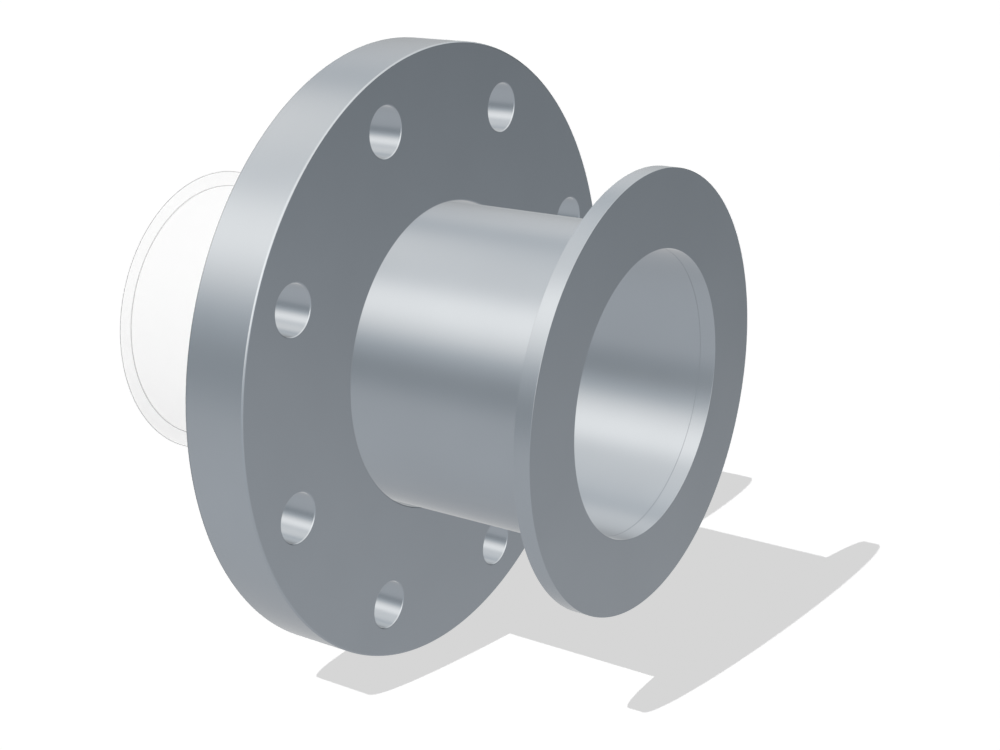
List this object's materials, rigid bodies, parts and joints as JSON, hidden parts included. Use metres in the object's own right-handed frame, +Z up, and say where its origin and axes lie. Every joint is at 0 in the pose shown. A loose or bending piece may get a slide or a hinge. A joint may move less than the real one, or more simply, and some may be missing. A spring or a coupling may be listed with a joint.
{
  "type": "lap joint flange",
  "caption": "Loose bolting ring that swivels round a tube with a flat lap on its end, so bolt holes line up with a mating flange; a short see-through pipe length butts the tube.",
  "frame": {"origin": "centre of the lap's gasket face, on the pipe axis", "axes": "+X along the pipe axis, out of the gasket face; +Z up, half way between two bolt holes of the ring"},
  "size_m": [0.1975, 0.23, 0.23],
  "materials": {
    "ring_steel": "satin, turned",
    "lap_steel": "satin, turned",
    "tube_steel": "satin",
    "clear_pipe": "clear"
  },
  "bodies": {
    "stub_end": {"lap_collar": "lap_steel", "neck_tube": "tube_steel", "pipe_end": "clear_pipe"},
    "ring": {"backing_ring": "ring_steel"}
  },
  "joints": [
    {"name": "ring_swivel", "type": "hinge", "parent": "stub_end", "child": "ring", "pos_m": [-0.09775, 0, 0], "axis": [1, 0, 0], "continuous": true}
  ]
}
